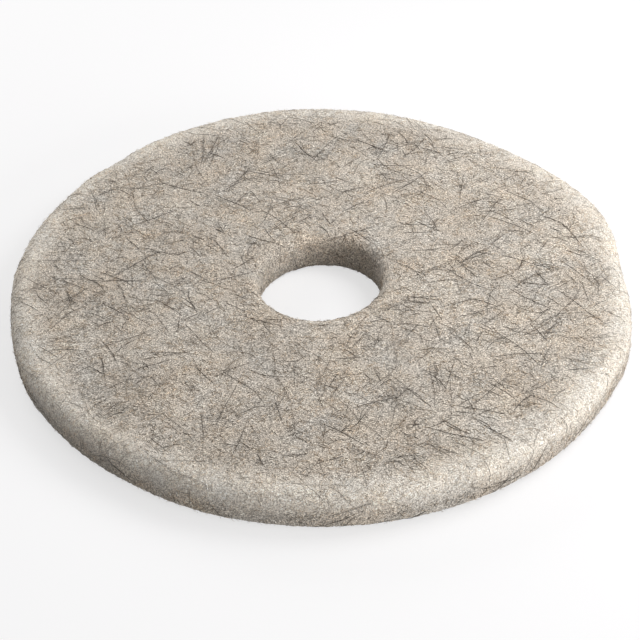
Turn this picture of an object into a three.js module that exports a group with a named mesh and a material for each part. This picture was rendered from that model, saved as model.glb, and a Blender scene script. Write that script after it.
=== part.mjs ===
// A floor polishing pad: one springy disc of nonwoven fibre with a hole through its centre.
// A floor machine's pad driver grips either face and spins the pad on the other one, and the
// driver's centre lock reaches down into the hole.
// The pad lies flat, +Z up. The origin is on the hole's axis, in the face that rests on the floor.

import * as THREE from "three";

// Driving dimensions, in millimetres.
const padDiameter = 406.4; // a 16 inch pad
const padThickness = 25.4; // 1 inch of loft
const holeDiameter = 82.6; // the 3 1/4 inch centre hole

// The cutting die drags the web down as it enters, so the edges of the upper face roll over
// further than those of the lower face. "across" is measured along the face, "deep" down the wall.
const rimRollTop = { across: 10, deep: 7.5 };
const rimRollBottom = { across: 6, deep: 5 };
const lipRollTop = { across: 6.5, deep: 5.5 };
const lipRollBottom = { across: 4, deep: 3.5 };

// Between its two rolls each cut wall springs back and swells.
const rimSwell = 0.8;
const holeSwell = 0.6;

// The rim isn't a true circle. Each lobe is centred on an azimuth in degrees, measured from +X
// towards +Y, and fades out over its half width. "reach" moves the rim outwards (or inwards, if
// negative) and "sag" lowers the top of its roll, both in millimetres.
const rimLobes = [
  { azimuth: 4, halfWidth: 10, reach: -4.4, sag: 1.0 },
  { azimuth: 20, halfWidth: 17, reach: 4.4, sag: -0.3 },
  { azimuth: 54, halfWidth: 16, reach: -1.8, sag: 0.6 },
  { azimuth: 98, halfWidth: 21, reach: 2.2, sag: 0 },
  { azimuth: 137, halfWidth: 5, reach: -1.8, sag: 0.9 },
  { azimuth: 153, halfWidth: 9, reach: -1.2, sag: 0.3 },
  { azimuth: 188, halfWidth: 6, reach: -0.8, sag: 0.2 },
  { azimuth: 208, halfWidth: 7, reach: 1.1, sag: 0.5 },
  { azimuth: 236, halfWidth: 8, reach: -1.1, sag: 1.4 },
  { azimuth: 286, halfWidth: 18, reach: 0, sag: -0.5 },
  { azimuth: 340, halfWidth: 6, reach: 1.7, sag: -0.3 },
];

// The hole is pulled a little longer along one line through its centre.
const holeStretch = { azimuth: 232, reach: 1.2 };

// Facets.
const facetsRound = 120;
const facetsPerBend = 4; // a roll gets twice this many

const webColour = "#b5a898";

const padRadius = padDiameter / 2;
const holeRadius = holeDiameter / 2;
const faceInnerRadius = holeRadius + lipRollTop.across; // the flat of the upper face starts here
const faceOuterRadius = padRadius - rimRollTop.across; // and ends here

// The section of the ring to the right of the axis: x is the radius and y the height. It runs up
// the rim, in over the upper face, down the hole and out under the lower face.
function padSection() {
  const section = new THREE.Path();
  const rollOver = (roll, cornerX, cornerY, outwards, upwards, from, to) => {
    const centreX = cornerX - outwards * roll.across;
    const centreY = cornerY - upwards * roll.deep;
    section.absellipse(centreX, centreY, roll.across, roll.deep, from, to, false);
  };
  const middle = padThickness / 2;
  const quarter = Math.PI / 2;

  section.moveTo(padRadius, rimRollBottom.deep);
  section.quadraticCurveTo(padRadius + rimSwell, middle, padRadius, padThickness - rimRollTop.deep);
  rollOver(rimRollTop, padRadius, padThickness, 1, 1, 0, quarter);
  section.lineTo(faceInnerRadius, padThickness);
  rollOver(lipRollTop, holeRadius, padThickness, -1, 1, quarter, 2 * quarter);
  section.quadraticCurveTo(holeRadius - holeSwell, middle, holeRadius, lipRollBottom.deep);
  rollOver(lipRollBottom, holeRadius, 0, -1, -1, 2 * quarter, 3 * quarter);
  section.lineTo(padRadius - rimRollBottom.across, 0);
  rollOver(rimRollBottom, padRadius, 0, 1, -1, 3 * quarter, 4 * quarter);
  return section.getPoints(facetsPerBend);
}

// The sum of the lobes' "reach" or "sag" at an azimuth in degrees.
function rimUnevenness(azimuth, kind) {
  return rimLobes.reduce((sum, lobe) => {
    const turn = THREE.MathUtils.euclideanModulo(azimuth - lobe.azimuth + 180, 360) - 180;
    return sum + lobe[kind] * Math.exp(-((turn / lobe.halfWidth) ** 2));
  }, 0);
}

function holeUnevenness(azimuth) {
  const turn = THREE.MathUtils.degToRad(azimuth - holeStretch.azimuth);
  return holeStretch.reach * Math.cos(2 * turn);
}

// Pushes the true ring's vertices to the uneven rim and hole of a soft web. The two faces only
// slide in their own planes, so both stay flat.
function makeUneven(geometry) {
  const vertices = geometry.getAttribute("position");
  for (let i = 0; i < vertices.count; i++) {
    const x = vertices.getX(i);
    const y = vertices.getY(i);
    const z = vertices.getZ(i);
    const radius = Math.hypot(x, y);
    const azimuth = THREE.MathUtils.radToDeg(Math.atan2(y, x));

    const nearRim = THREE.MathUtils.smoothstep(radius, faceInnerRadius, faceOuterRadius);
    const onRoll = THREE.MathUtils.smoothstep(radius, faceOuterRadius, padRadius);
    const height = z / padThickness;
    const rimReach = nearRim * rimUnevenness(azimuth, "reach");
    const holeReach = (1 - nearRim) * holeUnevenness(azimuth);
    const sag = onRoll * height * rimUnevenness(azimuth, "sag");

    const stretch = (radius + rimReach + holeReach) / radius;
    vertices.setXYZ(i, x * stretch, y * stretch, z - sag);
  }
  return geometry;
}

function padDisc() {
  const ring = new THREE.LatheGeometry(padSection(), facetsRound);
  ring.rotateX(Math.PI / 2);
  makeUneven(ring);
  ring.computeVertexNormals();
  const web = new THREE.MeshStandardMaterial({
    color: webColour,
    roughness: 0.95,
    metalness: 0,
  });
  const disc = new THREE.Mesh(ring, web);
  disc.name = "pad_disc";
  return disc;
}

const floorPad = new THREE.Group();
floorPad.name = "floor_polishing_pad";
floorPad.add(padDisc());

export default floorPad;
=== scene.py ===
# %% [markdown]
# A floor polishing pad is one thick disc of springy fibre. Hair and polyester fibres are blown into
# a loose mat, bonded with a little resin, and a round die cuts the pad and its centre hole out of it.
# There is no cover, backing or seam, so all that the eye gets is fibre: a pale tangle, dark hairs
# lying across it, and soft edges that the die has rolled over.
#
# A smooth disc with a fibre pattern on it could stand for that from far away. Its rim would be a
# clean line, though, and a loose mat has none. So this pad gets a body for its shape, a finish that
# draws the depth of the mat, and real fibres on top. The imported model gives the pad's place and
# size, and everything below is laid on that frame, in metres.

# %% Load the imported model
import math

import bpy
from mathutils import Matrix, Vector


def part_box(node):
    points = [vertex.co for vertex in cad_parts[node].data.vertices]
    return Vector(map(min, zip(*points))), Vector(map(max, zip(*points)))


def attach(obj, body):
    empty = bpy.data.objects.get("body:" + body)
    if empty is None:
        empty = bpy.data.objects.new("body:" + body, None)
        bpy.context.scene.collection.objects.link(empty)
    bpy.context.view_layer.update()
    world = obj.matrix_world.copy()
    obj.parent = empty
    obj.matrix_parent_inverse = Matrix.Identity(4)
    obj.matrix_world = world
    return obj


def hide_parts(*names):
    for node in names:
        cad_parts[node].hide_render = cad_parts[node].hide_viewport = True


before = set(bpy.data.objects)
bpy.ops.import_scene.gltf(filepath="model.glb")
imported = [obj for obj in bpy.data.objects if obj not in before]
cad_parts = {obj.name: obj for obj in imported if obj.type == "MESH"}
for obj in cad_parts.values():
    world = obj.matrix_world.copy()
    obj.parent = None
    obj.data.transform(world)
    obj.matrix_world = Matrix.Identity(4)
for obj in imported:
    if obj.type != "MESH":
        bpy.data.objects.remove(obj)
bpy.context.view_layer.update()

mm = 0.001
pad_low, pad_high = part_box("pad_disc")
print("the pad's box in mm:", [round(size / mm) for size in pad_high - pad_low])

# %% [markdown]
# The pad is cut to standard sizes. Its width could be measured off the model's box, as its thickness
# is, but the rim isn't a true circle, and the box would give the size of its bulges. So the true
# radius is written out, and that of the hole, which the box doesn't show. With them go the soft
# rolls that the die leaves at each edge, and the lobes by which the rim strays from a circle,
# because an uneven edge is what tells a die-cut mat from a turned disc.

# %% The pad's sizes
pad_thickness = pad_high.z - pad_low.z
pad_radius = 203.2 * mm
hole_radius = 41.3 * mm

# Each roll is (across the face, down the wall).
rim_roll_top = (10 * mm, 7.5 * mm)
rim_roll_bottom = (6 * mm, 5 * mm)
lip_roll_top = (6.5 * mm, 5.5 * mm)
lip_roll_bottom = (4 * mm, 3.5 * mm)

face_inner_radius = hole_radius + lip_roll_top[0]
face_outer_radius = pad_radius - rim_roll_top[0]
face_width = face_outer_radius - face_inner_radius
print("the flat of the upper face is", round(face_width / mm), "mm wide")

# %% How the rim and the hole stray from true circles
# Each lobe is (azimuth in degrees, half width in degrees, reach outwards, sag of the roll).
rim_lobes = [
    (4, 10, -4.4 * mm, 1.0 * mm),
    (20, 17, 4.4 * mm, -0.3 * mm),
    (54, 16, -1.8 * mm, 0.6 * mm),
    (98, 21, 2.2 * mm, 0.0),
    (137, 5, -1.8 * mm, 0.9 * mm),
    (153, 9, -1.2 * mm, 0.3 * mm),
    (188, 6, -0.8 * mm, 0.2 * mm),
    (208, 7, 1.1 * mm, 0.5 * mm),
    (236, 8, -1.1 * mm, 1.4 * mm),
    (286, 18, 0.0, -0.5 * mm),
    (340, 6, 1.7 * mm, -0.3 * mm),
]
# The hole is pulled longer along one line through its centre, and is narrower across it.
hole_stretch = 1.2 * mm
hole_stretch_azimuth = math.radians(232)
print("the rim has", len(rim_lobes), "lobes, and the hole is stretched by", hole_stretch / mm, "mm")

# %% [markdown]
# Node trees make the shapes and finishes here. They could be drawn by hand in the node editor. In
# code they stay exact and can be read from top to bottom, but they grow long, so small helpers keep
# them readable. `add` makes a node, fills its inputs in order with values or links, and hands back
# its first output. Each of the others is a kind of step that comes up again and again: arithmetic,
# a ramp or a smooth step between two values, soft noise, and how far a place is from the pad's axis.

# %% Helpers for every node tree
def add(tree, kind, values=(), **settings):
    """Adds a node, gives its inputs values or links in order, and returns its first output."""
    node = tree.nodes.new(kind)
    for name, value in settings.items():
        setattr(node, name, value)
    for socket, value in zip([s for s in node.inputs if s.enabled], values):
        if isinstance(value, bpy.types.NodeSocket):
            tree.links.new(value, socket)
        elif value is not None:
            socket.default_value = value
    return next(s for s in node.outputs if s.enabled)


def sums(tree, operation, *values):
    """One step of arithmetic on numbers."""
    return add(tree, "ShaderNodeMath", values, operation=operation)


def vectors(tree, operation, *values):
    """One step of arithmetic on vectors."""
    return add(tree, "ShaderNodeVectorMath", values, operation=operation)


def ramp(tree, value, low, high, first=0.0, last=1.0, shape="LINEAR"):
    """Goes from first, where the value is low, to last, where it is high."""
    return add(tree, "ShaderNodeMapRange", [value, low, high, first, last], interpolation_type=shape)


def smooth(tree, value, low, high):
    """0 below low, 1 above high, and a smooth step between."""
    return ramp(tree, value, low, high, shape="SMOOTHSTEP")


def cloud(tree, place, scale, detail=0.0):
    """Soft random noise, in grains whose size is one over the scale."""
    return add(tree, "ShaderNodeTexNoise", [place, scale, detail])


def from_axis(tree, place):
    """The x, y and z of a place, the same place at height zero, and its distance from the axis."""
    parts = add(tree, "ShaderNodeSeparateXYZ", [place]).node.outputs
    flat = add(tree, "ShaderNodeCombineXYZ", [parts["X"], parts["Y"], 0.0])
    return parts, flat, vectors(tree, "LENGTH", flat)


# %% [markdown]
# Geometry Nodes make a shape while Blender runs, as a modifier on an object. `new_tree` starts such
# a tree, with a named input for each size. `grow` sets those inputs, runs the tree and takes the
# result as a plain mesh. Then it removes the modifier, because the shared frame takes plain meshes.

# %% Helpers for trees that make shapes
def new_tree(title, sizes):
    """An empty geometry tree with a geometry in and out, and a named input for each size."""
    tree = bpy.data.node_groups.new(title, "GeometryNodeTree")
    tree.interface.new_socket("Geometry", in_out="INPUT", socket_type="NodeSocketGeometry")
    tree.interface.new_socket("Geometry", in_out="OUTPUT", socket_type="NodeSocketGeometry")
    for name, kind in sizes.items():
        tree.interface.new_socket(name, in_out="INPUT", socket_type="NodeSocket" + kind)
    return tree, tree.nodes.new("NodeGroupInput").outputs, tree.nodes.new("NodeGroupOutput").inputs


def grow(name, start, tree, values):
    """Runs a geometry tree on an object, and returns the result as a new plain mesh object."""
    modifier = start.modifiers.new(name, "NODES")
    modifier.node_group = tree
    for item in tree.interface.items_tree:
        if item.in_out == "INPUT" and item.name in values:
            modifier[item.identifier] = values[item.name]
    bpy.context.view_layer.update()
    seen = start.evaluated_get(bpy.context.evaluated_depsgraph_get())
    mesh = bpy.data.meshes.new_from_object(seen)
    start.modifiers.remove(modifier)
    mesh.name = name
    piece = bpy.data.objects.new(name, mesh)
    bpy.context.scene.collection.objects.link(piece)
    triangles = sum(len(face.vertices) - 2 for face in mesh.polygons)
    print(name, "has", triangles, "triangles")
    return piece


# %% [markdown]
# Cut through the pad beside its hole, and the cut shows one closed outline: up the rim, in over the
# face, down the hole and back under. It could be drawn by hand, point by point. Here it is worked out
# from the sizes, so that each of them is changed in one place. The rolls are quarter ellipses. The
# cut walls spring back after the die has gone through, so they are shallow parabolas: the handle of
# each stands out by its swell, and its middle by half of that.

# %% The stretches of the outline
quarter = math.pi / 2
rim_swell = 0.8 * mm
hole_swell = 0.6 * mm


def roll(corner, size, side, first_angle, steps):
    """Points of a quarter ellipse in a corner that faces outwards or inwards and up or down."""
    across, deep = size
    outwards, upwards = side
    for step in range(steps):
        angle = first_angle + quarter * step / steps
        x = corner[0] + across * (math.cos(angle) - outwards)
        yield x, corner[1] + deep * (math.sin(angle) - upwards)


def straight(start, end, steps, swell=0.0):
    """Points of a straight run, bowed sideways where a swell is given."""
    for step in range(steps):
        along = step / steps
        x = start[0] + (end[0] - start[0]) * along + swell * 2 * along * (1 - along)
        yield x, start[1] + (end[1] - start[1]) * along


print("the rim wall bows by", rim_swell / 2 / mm, "mm, and the hole's by", hole_swell / 2 / mm, "mm")

# %% [markdown]
# The points lie close together on the upper face, where the camera looks and where small lumps will
# be raised later. Underneath they lie far apart, so that the mesh spends its faces where they show.

# %% The outline of the section
section_steps = {"rim": 8, "rim roll": 10, "face": 76, "lip roll": 8,
                 "hole": 9, "lip foot": 5, "underside": 18, "rim foot": 6}


def pad_section(steps):
    """The section's points as (radius, height), anticlockwise from the foot of the rim."""
    top, rim, hole = pad_thickness, pad_radius, hole_radius
    rim_foot = (rim, rim_roll_bottom[1])
    rim_shoulder = (rim, top - rim_roll_top[1])
    hole_shoulder = (hole, top - lip_roll_top[1])
    hole_foot = (hole, lip_roll_bottom[1])
    under_inner = (hole + lip_roll_bottom[0], 0.0)
    under_outer = (rim - rim_roll_bottom[0], 0.0)
    yield from straight(rim_foot, rim_shoulder, steps["rim"], rim_swell)
    yield from roll((rim, top), rim_roll_top, (1, 1), 0, steps["rim roll"])
    yield from straight((face_outer_radius, top), (face_inner_radius, top), steps["face"])
    yield from roll((hole, top), lip_roll_top, (-1, 1), quarter, steps["lip roll"])
    yield from straight(hole_shoulder, hole_foot, steps["hole"], -hole_swell)
    yield from roll((hole, 0), lip_roll_bottom, (-1, -1), 2 * quarter, steps["lip foot"])
    yield from straight(under_inner, under_outer, steps["underside"])
    yield from roll((rim, 0), rim_roll_bottom, (1, -1), 3 * quarter, steps["rim foot"])


section_points = list(pad_section(section_steps))
print("the section has", len(section_points), "points")

# %% The outline as a curve
middle_radius = (pad_radius + hole_radius) / 2


def closed_curve(points):
    """The section as a closed curve, with its x counted from the middle of the ring."""
    curve = bpy.data.curves.new("pad_section", "CURVE")
    curve.dimensions = "3D"
    spline = curve.splines.new("POLY")
    spline.points.add(len(points) - 1)
    # The sweep turns y over, so the heights are given upside down.
    for point, (x, y) in zip(spline.points, points):
        point.co = (x - middle_radius, -y, 0.0, 1.0)
    spline.use_cyclic_u = True
    outline = bpy.data.objects.new("pad_section", curve)
    bpy.context.scene.collection.objects.link(outline)
    return outline


# Clockwise, so that the faces of the swept body point outwards.
section = closed_curve(section_points[::-1])
print("the middle of the ring is", round(middle_radius / mm), "mm from the axis")

# %% [markdown]
# The body's shape follows a rule: the section is swept round a circle, and then each point is moved.
# A Screw modifier could sweep it too, but it couldn't go on to move the points by rule. The first
# move bends the outline. The lobes push the rim out or in and let its roll sag, and the stretch
# pulls at the hole. Each fades away across the face, so that neither disturbs the other.

# %% Bend the rim and the hole
def lobe_strength(tree, azimuth, centre, half_width):
    """How strongly one lobe acts at an azimuth: 1 at its centre, fading over its half width."""
    turn = sums(tree, "SUBTRACT", azimuth, math.radians(centre))
    turn = sums(tree, "WRAP", turn, math.pi, -math.pi)
    share = sums(tree, "DIVIDE", turn, math.radians(half_width))
    return sums(tree, "EXPONENT", sums(tree, "MULTIPLY", sums(tree, "MULTIPLY", share, share), -1.0))


def rim_reach_and_sag(tree, azimuth):
    """How far all the lobes push the rim outwards, and how far they lower its roll."""
    reach, sag = 0.0, 0.0
    for centre, half_width, lobe_reach, lobe_sag in rim_lobes:
        strength = lobe_strength(tree, azimuth, centre, half_width)
        reach = sums(tree, "MULTIPLY_ADD", strength, lobe_reach, reach)
        sag = sums(tree, "MULTIPLY_ADD", strength, lobe_sag, sag)
    return reach, sag


def bend(tree, place, hole_reach):
    """The move that takes each point from a true ring to the bent outline."""
    parts, flat, radius = from_axis(tree, place)
    azimuth = sums(tree, "ARCTAN2", parts["Y"], parts["X"])
    near_rim = smooth(tree, radius, face_inner_radius, face_outer_radius)
    near_hole = sums(tree, "SUBTRACT", 1.0, near_rim)
    reach, sag = rim_reach_and_sag(tree, azimuth)
    reach = sums(tree, "MULTIPLY", reach, near_rim)
    twice = sums(tree, "MULTIPLY_ADD", azimuth, 2.0, -2 * hole_stretch_azimuth)
    stretch = sums(tree, "MULTIPLY", sums(tree, "COSINE", twice), hole_reach)
    reach = sums(tree, "MULTIPLY_ADD", stretch, near_hole, reach)
    outwards = vectors(tree, "SCALE", vectors(tree, "NORMALIZE", flat), reach)

    on_roll = smooth(tree, radius, face_outer_radius, pad_radius)
    height = sums(tree, "DIVIDE", parts["Z"], pad_thickness)
    sag = sums(tree, "MULTIPLY", sag, on_roll)
    drop = sums(tree, "MULTIPLY", sag, sums(tree, "MULTIPLY", height, -1.0))
    return vectors(tree, "ADD", outwards, add(tree, "ShaderNodeCombineXYZ", [0.0, 0.0, drop]))


furthest = max(reach for _, _, reach, _ in rim_lobes)
print("the furthest lobe reaches out by", furthest / mm, "mm")

# %% [markdown]
# The second move lifts and sinks the surface a little, because a blown mat is never flat. Sculpting
# could do it, but three sizes of noise do it evenly all over and the same way each time: broad
# swellings, pea-sized lumps, and the pits between tufts. The underside keeps still, as the pad's own
# weight presses it flat on the floor.

# %% Make the surface uneven
# Each kind is (its size across, how far it lifts or sinks the surface).
unevenness = {"Swelling": (26 * mm, 0.45 * mm), "Lump": (7 * mm, 0.18 * mm), "Pit": (2.6 * mm, 0.15 * mm)}
still_below, free_above = 0.5 * mm, 5 * mm


def lift(tree, place, depths):
    """The move of each point along its normal."""
    height = 0.0
    for kind, (size, _) in unevenness.items():
        noise = cloud(tree, place, 1 / size, detail=1.0)
        centred = sums(tree, "MULTIPLY_ADD", noise, 2.0, -1.0)
        height = sums(tree, "MULTIPLY_ADD", centred, depths[kind], height)
    parts = add(tree, "ShaderNodeSeparateXYZ", [place]).node.outputs
    height = sums(tree, "MULTIPLY", height, smooth(tree, parts["Z"], still_below, free_above))
    return vectors(tree, "SCALE", add(tree, "GeometryNodeInputNormal"), height)


def body_tree():
    """Sweeps the section round the hole's axis, bends it and makes it uneven."""
    depths = {kind: "Float" for kind in unevenness}
    sizes = {"Steps round": "Int", "Middle radius": "Float", "Hole stretch": "Float", **depths,
             "Material": "Material"}
    tree, given, made = new_tree("sweep the pad", sizes)
    circle = add(tree, "GeometryNodeCurvePrimitiveCircle", [given["Steps round"], given["Middle radius"]])
    body = add(tree, "GeometryNodeCurveToMesh", [circle, given["Geometry"], 1.0, False])
    place = add(tree, "GeometryNodeInputPosition")
    for move in (bend(tree, place, given["Hole stretch"]), lift(tree, place, given)):
        body = add(tree, "GeometryNodeSetPosition", [body, True, None, move])
    body = add(tree, "GeometryNodeSetShadeSmooth", [body, True, True])
    body = add(tree, "GeometryNodeRealizeInstances", [body])
    tree.links.new(add(tree, "GeometryNodeSetMaterial", [body, True, given["Material"]]), made[0])
    print("the tree that sweeps the pad has", len(tree.nodes), "nodes")
    return tree


sweep = body_tree()

# %% [markdown]
# Colours are easiest to choose as they look on a screen. Shaders work in linear light, where the
# same numbers would come out too pale, so `srgb` turns one into the other. The two mixing helpers
# are used by every finish below.

# %% Helpers for colours
def srgb(red, green, blue):
    """A colour given as it looks on a screen, from 0 to 255, turned into linear light."""
    channels = []
    for value in (red, green, blue):
        share = value / 255
        channels.append(share / 12.92 if share <= 0.04045 else ((share + 0.055) / 1.055) ** 2.4)
    return (*channels, 1.0)


def mixed(tree, share, first, second, **settings):
    """The first colour, turned into the second by a share."""
    return add(tree, "ShaderNodeMix", [share, first, second], data_type="RGBA", **settings)


def scaled_colour(tree, colour, share):
    """A colour made darker or lighter by a share."""
    grey = add(tree, "ShaderNodeCombineColor", [share, share, share])
    return mixed(tree, 1.0, colour, grey, blend_type="MULTIPLY", clamp_result=True)


print("a screen grey of 128 is", round(srgb(128, 128, 128)[0], 2), "of full light")

# %% [markdown]
# From a step away the mat is blotched, warm where polyester lies thick and cool where hair does. The
# blotches could be painted on the body alone, but fibres of one shade would then hide them. Here
# they are a function of place, so the body and all the fibres that lie on it share the same ones.

# %% Blotches that all the fibres share
# Each size of blotch is (size, the tint of its warm or pale half, the tint of its cool or dark half).
blotches = (
    (26 * mm, (1.07, 1.01, 0.94, 1.0), (0.97, 0.98, 0.99, 1.0)),
    (12 * mm, (1.03, 1.00, 0.98, 1.0), (0.99, 0.99, 0.99, 1.0)),
    (55 * mm, (1.10, 1.10, 1.10, 1.0), (0.89, 0.89, 0.89, 1.0)),
)
blotch_fade = 0.4        # the part of the noise's range over which one half turns into the other
blotch_shift = (3.1, 1.7, 0.9)        # each size reads the noise this much further on


def blotched(tree, place, colour):
    """Tints a colour warm or pale in some places and cool or dark in others."""
    for number, (size, warm, cool) in enumerate(blotches):
        moved = vectors(tree, "ADD", place, tuple(number * shift for shift in blotch_shift))
        noise = cloud(tree, moved, 1 / size, detail=2.0)
        which = ramp(tree, noise, 0.5 - blotch_fade / 2, 0.5 + blotch_fade / 2)
        tint = mixed(tree, which, cool, warm)
        colour = mixed(tree, 1.0, colour, tint, blend_type="MULTIPLY")
    return colour


print("the blotches are", [round(size / mm) for size, _, _ in blotches], "mm across")

# %% [markdown]
# Two more changes depend on place, and both are painted light. The crest of the rim gets a painted
# glow, paler and brighter, for the light that its loose fibres would let through. The wall of the
# hole gets painted shade, a little darker, for the light that gets lost between its cut ends. More
# lamps could pale the crest too, but they would bleach the face beside it.

# %% Painted glow on the crest of the rim and painted shade on the wall of the hole
# The crest's glow is a painted highlight: its colour is made paler and brighter here.
painted_glow_radii = (face_outer_radius - 16 * mm, pad_radius - 7 * mm)
painted_glow_heights = (9 * mm, 20 * mm)
painted_glow_colour = srgb(244, 237, 227)
painted_glow_paleness = 0.3        # how far a fibre's colour goes towards the crest's own
painted_glow_gain = 0.19        # how much brighter the crest is than the face, as a share
# Painted shade: the wall of the hole is made darker in its colour.
hole_painted_shade_share = 0.88        # what the wall of the hole keeps of its brightness


def with_painted_glow_and_shade(tree, place, colour):
    """A colour with a painted glow, paler and brighter, on the rim's crest, and painted shade in the hole.
    """
    parts, _, radius = from_axis(tree, place)
    outer = smooth(tree, radius, *painted_glow_radii)
    # A mask for the painted glow on the crest.
    crest = sums(tree, "MULTIPLY", outer, smooth(tree, parts["Z"], *painted_glow_heights))
    colour = mixed(tree, sums(tree, "MULTIPLY", crest, painted_glow_paleness), colour, painted_glow_colour)
    share = sums(tree, "MULTIPLY_ADD", crest, painted_glow_gain, 1.0)
    # A mask for the painted shade on the wall of the hole.
    hole_shade_mask = smooth(tree, radius, face_inner_radius, hole_radius)
    return scaled_colour(tree, colour, sums(tree, "MULTIPLY_ADD", hole_shade_mask, hole_painted_shade_share - 1, share))


print("the crest turns pale between", [round(radius / mm) for radius in painted_glow_radii], "mm from the axis")

# %% [markdown]
# Close up, every fibre has its own shade, with specks in it: partly its own tone, partly painted shade
# and painted highlight where fibres cross. All the finishes start from the same soft, rough shader.
# Sheen is its important part: a layer of loose fibres glows at a grazing angle, and that, with the
# painted glow on the crest, makes the rim of such a pad look bright and soft.

# %% What all the finishes have in common
# The specks are partly the fibres' own tone and partly painted shade and highlight where fibres cross.
speck_size = 0.85 * mm
speck_range = (0.32, 0.68)        # the part of the noise's range that goes from dark to pale
print("specks are", speck_size / mm, "mm across")


def specks(tree, place, shares):
    """Fine grain between two shares: own tone, with painted shade and highlight where fibres cross."""
    return ramp(tree, cloud(tree, place, 1 / speck_size), *speck_range, *shares)


def new_finish(name, roughness, sheen):
    """A material whose even qualities are set on the shader itself, and the place that it reads."""
    finish = bpy.data.materials.new(name)
    finish.use_nodes = True
    tree = finish.node_tree
    shader = tree.nodes["Principled BSDF"]
    shader.inputs["Roughness"].default_value = roughness
    shader.inputs["Specular IOR Level"].default_value = 0.25
    shader.inputs["Sheen Weight"].default_value = sheen
    shader.inputs["Sheen Roughness"].default_value = 0.5
    shader.inputs["Sheen Tint"].default_value = srgb(250, 244, 234)
    print("made the finish", name)
    return finish, tree, shader, add(tree, "ShaderNodeTexCoord").node.outputs["Object"]


def set_colour(tree, shader, place, colour, speck_shares):
    """Gives a shader its colour, with the specks and their painted shade, the blotches, and the painted
    glow and shade at the edges.
    """
    colour = scaled_colour(tree, colour, specks(tree, place, speck_shares))
    colour = with_painted_glow_and_shade(tree, place, blotched(tree, place, colour))
    tree.links.new(colour, shader.inputs["Base Color"])


# %% [markdown]
# Under the loose fibres lies the body of the mat, with far more fibres than these. Modelling them all
# would take millions of faces, so the body's finish draws them: noise is stretched until its grains
# are strokes, and several turned copies are laid over each other, as the fibres are. The gaps between
# the strokes are painted dark, as shade in the depth of the mat, and each lower layer is painted a
# little darker, as shade under the layers above. The place that the noise reads is curled a little
# first, so that the strokes bend. They also seem to raise the surface, so that light catches them.

# %% The finish of the body
stroke_layers = 7
stroke_length, stroke_width = 2.6 * mm, 0.6 * mm
stroke_range = (0.46, 0.66)        # the noise from the gaps between fibres to the top of a fibre
stroke_tilt = 0.35        # how far a layer may lean out of the face, in radians
tilt_steps = (2.4, 1.7)        # from layer to layer, so that no two lean alike
# Painted shade: each lower layer is darker, as if shaded by the layers above it.
lowest_paleness, paleness_step = 0.7, 0.05        # each layer is a little paler than the one before
curl_size, curl_reach = 4 * mm, 3 * mm
bump_strength, bump_height = 0.7, 0.6 * mm
body_specks = (0.52, 1.36)


def strokes(tree, place, layer):
    """Noise drawn out into strokes that run at one angle, from 0 in the gaps to 1 on a fibre."""
    lean = stroke_tilt * math.sin(tilt_steps[0] * layer)
    rise = stroke_tilt * math.cos(tilt_steps[1] * layer)
    turn = (lean, rise, math.pi * layer / stroke_layers)
    scales = (1 / stroke_length, 1 / stroke_width, 1 / stroke_width)
    turned = add(tree, "ShaderNodeMapping", [place, (0, 0, 0), turn, scales])
    return ramp(tree, cloud(tree, turned, 1.0, detail=1.0), *stroke_range)


def body_finish():
    """Many crossing, curling strokes: pale fibre over painted shade in the depth between fibres."""
    finish, tree, shader, place = new_finish("web_body", roughness=0.9, sheen=0.25)
    curl = cloud(tree, place, 1 / curl_size).node.outputs["Color"]
    curl = vectors(tree, "SUBTRACT", curl, (0.5, 0.5, 0.5))
    curled = vectors(tree, "MULTIPLY_ADD", curl, (curl_reach, curl_reach, curl_reach), place)
    crossing = 0.0
    for layer in range(stroke_layers):
        paleness = lowest_paleness + paleness_step * layer
        laid = sums(tree, "MULTIPLY", strokes(tree, curled, layer), paleness)
        crossing = sums(tree, "MAXIMUM", crossing, laid)
    # The dark colour in the gaps between the strokes is painted shade of the mat's depth.
    colour = mixed(tree, crossing, srgb(70, 64, 57), srgb(232, 224, 213))
    set_colour(tree, shader, place, colour, body_specks)
    bump = add(tree, "ShaderNodeBump", [bump_strength, bump_height, None, crossing])
    tree.links.new(bump, shader.inputs["Normal"])
    return finish


web_finish = body_finish()

# %% [markdown]
# Now the body is swept. It could be finer still, but a step about every two millimetres round the
# rim is as fine as its lumps need, and the fibres on it will want most of the faces.

# %% Sweep the body
body_sizes = {"Steps round": 640, "Middle radius": middle_radius, "Hole stretch": hole_stretch,
              **{kind: depth for kind, (_, depth) in unevenness.items()}, "Material": web_finish}
pad_body = grow("pad_body", section, sweep, body_sizes)
bpy.data.objects.remove(section)

# %% [markdown]
# The loose fibres cross, shade each other and stand out at the rim. A hair system could grow them,
# but its hairs are no mesh, and only meshes go into the shared frame. So one tree of nodes lays any
# kind of them. It starts by deciding how many fibres each patch of the body gets: more in some
# clumps, fewer underneath, and a share of its own for the edges. Then it scatters points, and gives
# each a heading along the surface.

# %% Where the fibres are rooted
clump_range = (0.42, 0.66)        # the noise from the thin places to the thick ones
thinnest, thickest = -0.5, 1.5        # what full clumping makes of a thin and a thick place
underside_height = 0.3 * mm
edge_starts, edge_full = -3 * mm, 4 * mm        # measured outwards from where the flat ends


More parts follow.
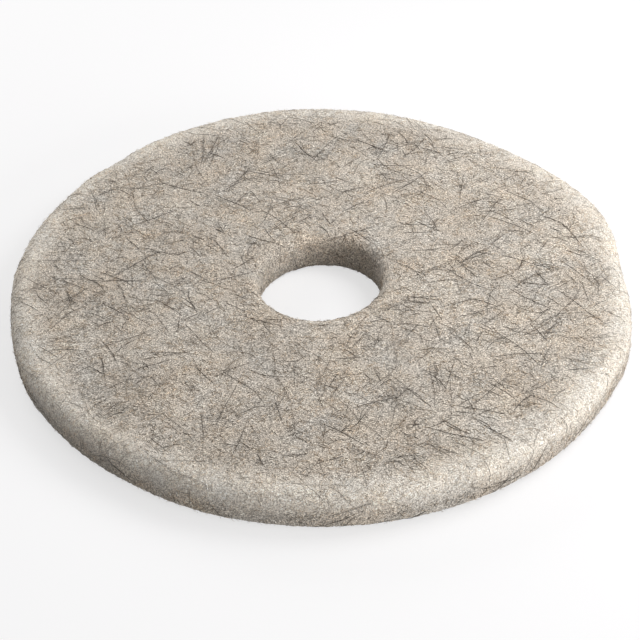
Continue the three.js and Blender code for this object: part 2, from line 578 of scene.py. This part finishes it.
def share_by_place(tree, given, place):
    """How many fibres a place gets, as a share: by the edges, by the clumps and by the side."""
    parts, _, radius = from_axis(tree, place)
    patch = cloud(tree, place, sums(tree, "DIVIDE", 1.0, given["Clump size"]), detail=1.0)
    patch = smooth(tree, patch, *clump_range)
    patch = sums(tree, "MULTIPLY_ADD", patch, thickest - thinnest, thinnest)
    even = sums(tree, "SUBTRACT", 1.0, given["Clumping"])
    clump = sums(tree, "MULTIPLY_ADD", patch, given["Clumping"], even)
    under = sums(tree, "LESS_THAN", parts["Z"], underside_height)
    loss = sums(tree, "MULTIPLY", under, sums(tree, "SUBTRACT", 1.0, given["Underside share"]))
    side = sums(tree, "SUBTRACT", 1.0, loss)
    off_middle = sums(tree, "SUBTRACT", radius, (face_inner_radius + face_outer_radius) / 2)
    past_flat = (face_width / 2 + edge_starts, face_width / 2 + edge_full)
    on_edge = smooth(tree, sums(tree, "ABSOLUTE", off_middle), *past_flat)
    change = sums(tree, "SUBTRACT", given["Edge share"], given["Flat share"])
    edge = sums(tree, "MULTIPLY_ADD", on_edge, change, given["Flat share"])
    return sums(tree, "MULTIPLY", sums(tree, "MULTIPLY", clump, side), edge)


def kept(tree, geometry, name, value, kind="FLOAT_VECTOR"):
    """Stores a value on each point under a name, and returns the geometry that holds it."""
    return add(tree, "GeometryNodeStoreNamedAttribute", [geometry, True, name, value], data_type=kind)


def roots(tree, given, place):
    """Points on the skin. Each keeps its place, a heading along the surface and the side way."""
    share = sums(tree, "MAXIMUM", share_by_place(tree, given, place), 0.0)
    density = sums(tree, "MULTIPLY", share, given["Per square metre"])
    scattered = [given["Geometry"], True, density, given["Seed"]]
    points = add(tree, "GeometryNodeDistributePointsOnFaces", scattered)
    normal = points.node.outputs["Normal"]
    ends = [(-1, -1, -1), (1, 1, 1), None, given["Seed"]]
    tumble = add(tree, "FunctionNodeRandomValue", ends, data_type="FLOAT_VECTOR")
    heading = vectors(tree, "NORMALIZE", vectors(tree, "CROSS_PRODUCT", normal, tumble))
    points = kept(tree, points, "root", place)
    points = kept(tree, points, "heading", heading)
    return kept(tree, points, "side", vectors(tree, "CROSS_PRODUCT", normal, heading))


print("an edge begins", -edge_starts / mm, "mm before the flat of the face ends")

# %% [markdown]
# No two fibres are alike, so each draws its own numbers for its length, its bends and its shade. A
# polyester fibre is bowed and crimped all over. A hair is nearly straight, and may have an elbow
# where the mat has bent it. The line of each fibre is bent on the level first, as if on a table.

# %% Bend the line of each fibre
# Each quality has (a number that is added to the seed of the fibre's kind, the lowest and the
# highest value that it can draw).
draws = {"length": (1.0, 0.0, 1.0), "bow": (2.0, -1.0, 1.0), "swerve": (3.0, -0.6, 0.6),
         "rise": (4.0, 0.2, 1.0), "loose end": (5.0, 0.0, 1.0), "shade": (6.0, 0.0, 1.0),
         "girth": (7.0, 0.7, 1.3), "elbow": (8.0, -1.0, 1.0)}
elbow_place = 0.45        # how far along the fibre
elbow_rarity = 3.0        # the higher, the fewer fibres have a sharp elbow
crimp_scale = 160.0        # a crimp is about 6 mm long
crimp_step = 0.37        # how far from each other two fibres read the noise
print("each fibre draws", len(draws), "numbers")


def drawn(tree, given, quality):
    """A random number for one quality of each fibre, the same all along it."""
    shift, low, high = draws[quality]
    which = add(tree, "GeometryNodeCurveOfPoint")
    seed = sums(tree, "ADD", given["Seed"], shift)
    return add(tree, "FunctionNodeRandomValue", [low, high, which, seed])


def sideways_share(tree, given, along, arch):
    """How far the fibre strays sideways, as a share of its length: a bow, a swerve and an elbow."""
    wave = sums(tree, "SINE", sums(tree, "MULTIPLY", along, 2 * math.pi))
    bow = sums(tree, "MULTIPLY", arch, drawn(tree, given, "bow"))
    curved = sums(tree, "MULTIPLY_ADD", wave, drawn(tree, given, "swerve"), bow)
    curved = sums(tree, "MULTIPLY", curved, given["Bow"])
    kink = sums(tree, "POWER", sums(tree, "ABSOLUTE", drawn(tree, given, "elbow")), elbow_rarity)
    kink = sums(tree, "MULTIPLY", kink, given["Elbow"])
    corner = sums(tree, "ABSOLUTE", sums(tree, "SUBTRACT", along, elbow_place))
    return sums(tree, "MULTIPLY_ADD", corner, kink, curved)


def named(tree, name, kind="FLOAT_VECTOR"):
    """Reads back a stored value."""
    return add(tree, "GeometryNodeInputNamedAttribute", [name], data_type=kind)


def bent_place(tree, given, along, arch):
    """The place of each point of the line before it is pressed on to the skin."""
    chance = drawn(tree, given, "length")
    mostly_short = sums(tree, "MULTIPLY", chance, chance)
    spread = sums(tree, "SUBTRACT", given["Longest"], given["Shortest"])
    length = sums(tree, "MULTIPLY_ADD", mostly_short, spread, given["Shortest"])
    sideways = sums(tree, "MULTIPLY", sideways_share(tree, given, along, arch), length)
    forwards = sums(tree, "MULTIPLY", sums(tree, "SUBTRACT", along, 0.5), length)
    ahead = vectors(tree, "SCALE", named(tree, "heading"), forwards)
    aside = vectors(tree, "SCALE", named(tree, "side"), sideways)
    spot = vectors(tree, "ADD", vectors(tree, "ADD", named(tree, "root"), ahead), aside)

    number = add(tree, "ShaderNodeCombineXYZ", [add(tree, "GeometryNodeCurveOfPoint"), 0.0, 0.0])
    own = vectors(tree, "SCALE", number, crimp_step)
    read = vectors(tree, "ADD", vectors(tree, "SCALE", spot, crimp_scale), own)
    crimp = vectors(tree, "SUBTRACT", cloud(tree, read, 1.0).node.outputs["Color"], (0.5, 0.5, 0.5))
    return vectors(tree, "ADD", spot, vectors(tree, "SCALE", crimp, given["Crimp"]))


# %% [markdown]
# Then the line is pressed on to the skin. A shrinkwrap would lay it flat, but a fibre in a mat comes
# up out of it and goes back in, so its ends dip below the skin and its middle arches over it. One
# end may stand loose. No fibre goes lower than the pad's flat underside.

# %% Press the line on to the skin
end_curl = 2.5        # the higher, the later a loose end leaves the skin
floor_gap = 0.8        # how high the line stays above the underside, in thicknesses of the fibre
print("a fibre's line stays", floor_gap, "of its thickness above the underside")


def skin_value(tree, given, value, spot):
    """The value of something at the nearest point of the body's skin."""
    values = [given["Geometry"], value, 0, spot]
    return add(tree, "GeometryNodeSampleNearestSurface", values, data_type="FLOAT_VECTOR")


def pressed_place(tree, given, spot, along, arch):
    """The place of each point of the line on the skin."""
    on_skin = skin_value(tree, given, add(tree, "GeometryNodeInputPosition"), spot)
    normal = skin_value(tree, given, add(tree, "GeometryNodeInputNormal"), spot)
    rise = sums(tree, "MULTIPLY", drawn(tree, given, "rise"), given["Rise"])
    dip = sums(tree, "MULTIPLY", given["Thickness"], -1.0)
    height = sums(tree, "MULTIPLY_ADD", arch, sums(tree, "SUBTRACT", rise, dip), dip)
    loose = sums(tree, "MULTIPLY", drawn(tree, given, "loose end"), given["Loose end"])
    height = sums(tree, "MULTIPLY_ADD", sums(tree, "POWER", along, end_curl), loose, height)
    spot = vectors(tree, "ADD", on_skin, vectors(tree, "SCALE", normal, height))
    parts = add(tree, "ShaderNodeSeparateXYZ", [spot]).node.outputs
    lowest = sums(tree, "MULTIPLY", given["Thickness"], floor_gap)
    above_floor = sums(tree, "MAXIMUM", parts["Z"], lowest)
    return add(tree, "ShaderNodeCombineXYZ", [parts["X"], parts["Y"], above_floor])


# %% [markdown]
# Last, the line gets a body. A round tube would take eight sides or more. A three-sided one is
# enough for something a third of a millimetre thick, and keeps each fibre to a few faces. It tapers
# towards its ends, which are hidden in the mat.

# %% The tree that lays fibres
end_girth, middle_girth = 0.2, 0.5        # the radius, in thicknesses of the fibre


def fibre_bodies(tree, given, lines, arch):
    """Turns the lines into closed three-sided tubes that taper towards their ends."""
    taper = sums(tree, "MULTIPLY_ADD", arch, middle_girth - end_girth, end_girth)
    girth = sums(tree, "MULTIPLY", taper, drawn(tree, given, "girth"))
    lines = kept(tree, lines, "girth", sums(tree, "MULTIPLY", girth, given["Thickness"]), "FLOAT")
    triangle = add(tree, "GeometryNodeCurvePrimitiveCircle", [3, 1.0])
    tubes = add(tree, "GeometryNodeCurveToMesh", [lines, triangle, named(tree, "girth", "FLOAT"), True])
    tubes = add(tree, "GeometryNodeSetShadeSmooth", [tubes, True, True])
    tubes = add(tree, "GeometryNodeRealizeInstances", [tubes])
    return add(tree, "GeometryNodeSetMaterial", [tubes, True, given["Material"]])


def fibre_tree():
    """Lays bowed fibres on a skin."""
    sizes = ("Per square metre", "Shortest", "Longest", "Thickness", "Bow", "Elbow", "Crimp", "Rise",
             "Loose end", "Underside share", "Clump size", "Clumping", "Flat share", "Edge share")
    kinds_of_input = {"Seed": "Int", "Points": "Int", **{size: "Float" for size in sizes}}
    tree, given, made = new_tree("lay fibres", {**kinds_of_input, "Material": "Material"})
    points = roots(tree, given, add(tree, "GeometryNodeInputPosition"))
    line = add(tree, "GeometryNodeCurvePrimitiveLine", [(0, 0, 0), (1, 0, 0)])
    line = add(tree, "GeometryNodeResampleCurve", [line, True, given["Points"]])
    lines = add(tree, "GeometryNodeInstanceOnPoints", [points, True, line])
    lines = add(tree, "GeometryNodeRealizeInstances", [lines])
    along = add(tree, "GeometryNodeSplineParameter")
    arch = sums(tree, "SINE", sums(tree, "MULTIPLY", along, math.pi))
    spot = pressed_place(tree, given, bent_place(tree, given, along, arch), along, arch)
    lines = add(tree, "GeometryNodeSetPosition", [lines, True, spot, None])
    lines = kept(tree, lines, "shade", drawn(tree, given, "shade"), "FLOAT")
    tree.links.new(fibre_bodies(tree, given, lines, arch), made[0])
    print("the tree that lays fibres has", len(tree.nodes), "nodes")
    return tree


lay = fibre_tree()

# %% [markdown]
# Every fibre takes its shade from the number that it has drawn, between the darkest and the palest
# of its kind. A finish for each shade would do as well, but this way five finishes give thousands of
# shades. The hairs are smoother than the polyester and glow less.

# %% The finishes of the fibres
fibre_specks = (0.54, 1.34)


def fibre_finish(name, dark, pale, roughness=0.7, sheen=0.35):
    """A finish that runs from dark to pale, fibre by fibre."""
    finish, tree, shader, place = new_finish(name, roughness, sheen)
    shade = add(tree, "ShaderNodeAttribute", attribute_name="shade").node.outputs["Fac"]
    set_colour(tree, shader, place, mixed(tree, shade, dark, pale), fibre_specks)
    return finish


pale_finish = fibre_finish("pale_fibre", srgb(206, 198, 186), srgb(242, 236, 227))
tan_finish = fibre_finish("tan_fibre", srgb(172, 157, 138), srgb(218, 204, 186))
grey_finish = fibre_finish("grey_fibre", srgb(104, 97, 89), srgb(170, 163, 154))
brown_finish = fibre_finish("brown_hair", srgb(92, 82, 70), srgb(154, 140, 122), roughness=0.6, sheen=0.15)
dark_finish = fibre_finish("dark_hair", srgb(30, 25, 22), srgb(84, 74, 64), roughness=0.5, sheen=0.1)

# %% [markdown]
# Six kinds of fibre make the mat. Pale, tan and grey ones are short and lie thick. A fine fuzz stands
# out only at the rim and in the hole, where the die has cut fibres loose. Brown and dark hairs are
# long, nearly straight and few, and fewer still at the edges. A single mixed kind would be simpler,
# but each of these has its own lengths, bends and places to lie.

# %% Lay the fibres
common = {"Bow": 0.4, "Elbow": 0.0, "Crimp": 1.0 * mm, "Rise": 0.35 * mm, "Loose end": 0.4 * mm,
          "Underside share": 0.2, "Clump size": 30 * mm, "Clumping": 0.3,
          "Flat share": 1.0, "Edge share": 1.0}
kinds = {
    "pale_fibres": {"Per square metre": 62000.0, "Seed": 11, "Points": 4, "Shortest": 2 * mm,
                    "Longest": 8 * mm, "Thickness": 0.40 * mm, "Edge share": 1.3,
                    "Material": pale_finish},
    "tan_fibres": {"Per square metre": 62000.0, "Seed": 23, "Points": 4, "Shortest": 2 * mm,
                   "Longest": 9 * mm, "Thickness": 0.38 * mm, "Material": tan_finish},
    "grey_fibres": {"Per square metre": 70000.0, "Seed": 37, "Points": 4, "Shortest": 1.8 * mm,
                    "Longest": 6 * mm, "Thickness": 0.36 * mm, "Edge share": 0.6,
                    "Material": grey_finish},
    "edge_fuzz": {"Per square metre": 100000.0, "Seed": 67, "Points": 4, "Shortest": 2 * mm,
                  "Longest": 7 * mm, "Thickness": 0.24 * mm, "Loose end": 2.0 * mm,
                  "Flat share": 0.0, "Material": pale_finish},
    "brown_hairs": {"Per square metre": 8000.0, "Seed": 83, "Points": 6, "Shortest": 6 * mm,
                    "Longest": 30 * mm, "Thickness": 0.27 * mm, "Rise": 0.5 * mm, "Bow": 0.06,
                    "Elbow": 0.3, "Crimp": 0.2 * mm, "Edge share": 0.6, "Material": brown_finish},
    "dark_hairs": {"Per square metre": 7000.0, "Seed": 51, "Points": 8, "Shortest": 10 * mm,
                   "Longest": 50 * mm, "Thickness": 0.32 * mm, "Rise": 0.6 * mm, "Bow": 0.03,
                   "Elbow": 0.25, "Crimp": 0.1 * mm, "Clump size": 50 * mm, "Clumping": 0.2,
                   "Edge share": 0.6, "Material": dark_finish},
}
fibres = [grow(name, pad_body, lay, {**common, **kind}) for name, kind in kinds.items()]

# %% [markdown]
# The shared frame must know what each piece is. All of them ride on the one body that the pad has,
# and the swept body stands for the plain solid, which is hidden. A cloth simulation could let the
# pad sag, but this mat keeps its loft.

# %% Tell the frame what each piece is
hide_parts("pad_disc")
for piece in (pad_body, *fibres):
    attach(piece, "root")
print(1 + len(fibres), "pieces ride on the pad's one body")

# %% [markdown]
# The floor is a plain pale sheet just under the pad. The camera sees it white, as in a studio. A
# floor that is really white would throw too much light up at the pad's side. So it is a light grey,
# with a glow that shows only where the floor is looked at and lights nothing. Far from the pad the
# grey fades out and the glow takes over, so that the floor runs into the white surroundings without
# an edge.

# %% The finish of the floor
white = (1.0, 1.0, 1.0, 1.0)
background_white = 0.95
floor_glow = 0.62
floor_fade = (0.5, 1.3)        # how far from the pad's axis the grey fades out, in metres
print("the background is seen at", background_white, "of full white")


def looked_at(tree):
    """1 for what is looked at, straight or in a reflection, and 0 for all other light."""
    ray = add(tree, "ShaderNodeLightPath").node.outputs
    mirrored = sums(tree, "MAXIMUM", ray["Is Glossy Ray"], ray["Is Transmission Ray"])
    return sums(tree, "MAXIMUM", ray["Is Camera Ray"], mirrored)


def floor_finish():
    """Light grey near the pad, black far off, and seen white in both places."""
    finish = bpy.data.materials.new("floor")
    finish.use_nodes = True
    tree = finish.node_tree
    shader = tree.nodes["Principled BSDF"]
    shader.inputs["Roughness"].default_value = 0.8
    shader.inputs["Specular IOR Level"].default_value = 0.0
    shader.inputs["Emission Color"].default_value = white
    place = add(tree, "ShaderNodeTexCoord").node.outputs["Object"]
    far_off = smooth(tree, vectors(tree, "LENGTH", place), *floor_fade)
    tree.links.new(mixed(tree, far_off, srgb(168, 167, 168), srgb(0, 0, 0)), shader.inputs["Base Color"])
    glow = sums(tree, "MULTIPLY_ADD", far_off, background_white - floor_glow, floor_glow)
    tree.links.new(sums(tree, "MULTIPLY", glow, looked_at(tree)), shader.inputs["Emission Strength"])
    return finish


# %% The floor
floor_reach = 6.0
floor_height = -0.2 * mm
sides = ((-1, -1), (1, -1), (1, 1), (-1, 1))
corners = [(x * floor_reach, y * floor_reach, floor_height) for x, y in sides]
floor_mesh = bpy.data.meshes.new("floor")
floor_mesh.from_pydata(corners, [], [(0, 1, 2, 3)])
floor_mesh.materials.append(floor_finish())
floor = bpy.data.objects.new("floor", floor_mesh)
bpy.context.scene.collection.objects.link(floor)
print("the floor is", 2 * floor_reach, "m wide")

# %% [markdown]
# The light comes mostly from the right. One big lamp could light the pad evenly, but its rim and its
# hole would lose their shape. So a lamp over the right of the pad makes that side of the face paler.
# A long low one, on the right and to the front, lights the cut side there and leaves the near left
# in shade. A third, behind the pad, picks out the far rim and lets the wall of the hole that faces
# the camera stay dark. All three are broad, so that shadows are soft.

# %% The lamps
def soft_lamp(name, place, width, height, power):
    """A rectangular area lamp that looks at the pad, with its place and sizes in metres."""
    light = bpy.data.lights.new(name, "AREA")
    light.shape = "RECTANGLE"
    light.size = width
    light.size_y = height
    light.energy = power
    lamp = bpy.data.objects.new(name, light)
    lamp.location = place
    lamp.rotation_euler = (-Vector(place)).to_track_quat("-Z", "Y").to_euler()
    bpy.context.scene.collection.objects.link(lamp)
    print("the lamp", name, "stands", round(Vector(place).length, 2), "m off and has", power, "W")


soft_lamp("key", (0.4, 0.08, 0.48), 0.35, 0.35, 2.05)
soft_lamp("right_low", (1.6, -0.95, 0.4), 1.8, 0.7, 28.0)
soft_lamp("back_left", (-0.85, 1.3, 0.5), 0.9, 0.9, 13.0)

# %% [markdown]
# The white surroundings fill in the rest. Like the floor, they are seen white but give less light
# than that, or the pad would have no dark side.

# %% The surroundings
world_light = 0.37
world = bpy.data.worlds.new("studio")
bpy.context.scene.world = world
world.use_nodes = True
sky = world.node_tree.nodes["Background"]
sky.inputs["Color"].default_value = white
white_gain = background_white - world_light
sky_strength = sums(world.node_tree, "MULTIPLY_ADD", looked_at(world.node_tree), white_gain, world_light)
world.node_tree.links.new(sky_strength, sky.inputs["Strength"])
print("the surroundings are seen at", background_white, "and give", world_light, "of light")

# %% [markdown]
# The camera stands where the photograph was taken from, as far as its outline tells. It looks down at
# about forty degrees through a long lens. A wide one could stand closer, but the near rim would
# swell and the far rim shrink. It leans by less than half a degree, as the photograph does. The view
# transform is Standard, so that a colour comes out about as it is written.

# %% The camera
camera_place = Vector((0.0, -902.2, 747.5)) * mm
camera_target = Vector((-0.6, -44.5, 25.4)) * mm
camera_lean = math.radians(-0.42)
lens = bpy.data.cameras.new("camera")
lens.lens = 98.9
lens.sensor_width = 36.0
camera = bpy.data.objects.new("camera", lens)
sight = camera_target - camera_place
aim = sight.to_track_quat("-Z", "Y").to_matrix().to_4x4()
camera.matrix_world = Matrix.Translation(camera_place) @ aim @ Matrix.Rotation(camera_lean, 4, "Z")
bpy.context.scene.collection.objects.link(camera)
bpy.context.scene.camera = camera
bpy.context.scene.view_settings.view_transform = "Standard"
downwards = math.degrees(math.asin(-sight.z / sight.length))
print("the camera looks down at", round(downwards, 1), "degrees from", round(sight.length, 2), "m")
